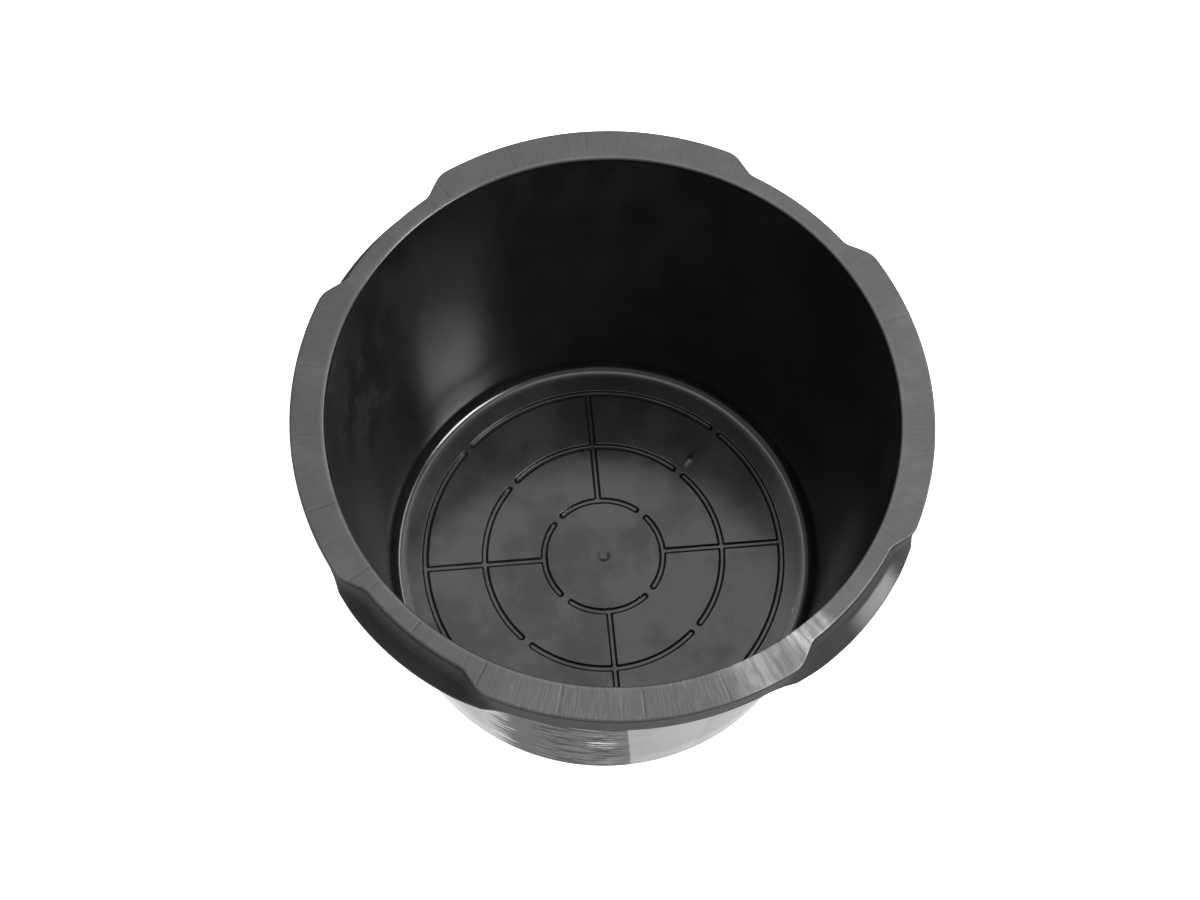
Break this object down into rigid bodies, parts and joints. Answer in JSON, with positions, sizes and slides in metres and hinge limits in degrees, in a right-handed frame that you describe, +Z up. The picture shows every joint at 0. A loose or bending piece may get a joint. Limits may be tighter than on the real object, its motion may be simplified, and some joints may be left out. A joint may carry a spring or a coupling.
{
  "type": "florist bucket",
  "caption": "Round tapered black plastic bucket for cut flowers, with a flat lobed rim, grip recesses and a ribbed floor.",
  "frame": {"origin": "middle of the foot ring's standing plane, on the bucket's axis", "axes": "+Z up along the bucket's axis to the mouth; +X and +Y each run through a floor spoke and the middle of a rim lobe, so the grip recesses lie at 45 degrees between them"},
  "size_m": [0.327, 0.327, 0.22],
  "materials": {
    "black_plastic": "black moulded polypropylene: satin and scuffed on the rim, glossier on the wall and floor"
  },
  "bodies": {
    "root": {"side_wall": "black_plastic", "base_floor": "black_plastic", "foot_ring": "black_plastic", "rim_flange": "black_plastic", "rim_gussets": "black_plastic", "floor_rib_right": "black_plastic", "floor_rib_back": "black_plastic", "floor_rib_left": "black_plastic", "floor_rib_front": "black_plastic", "lobe_skirt_right": "black_plastic", "lobe_skirt_back": "black_plastic", "lobe_skirt_left": "black_plastic", "lobe_skirt_front": "black_plastic", "grip_recess_back_right": "black_plastic", "grip_recess_back_left": "black_plastic", "grip_recess_front_left": "black_plastic", "grip_recess_front_right": "black_plastic"}
  },
  "joints": []
}
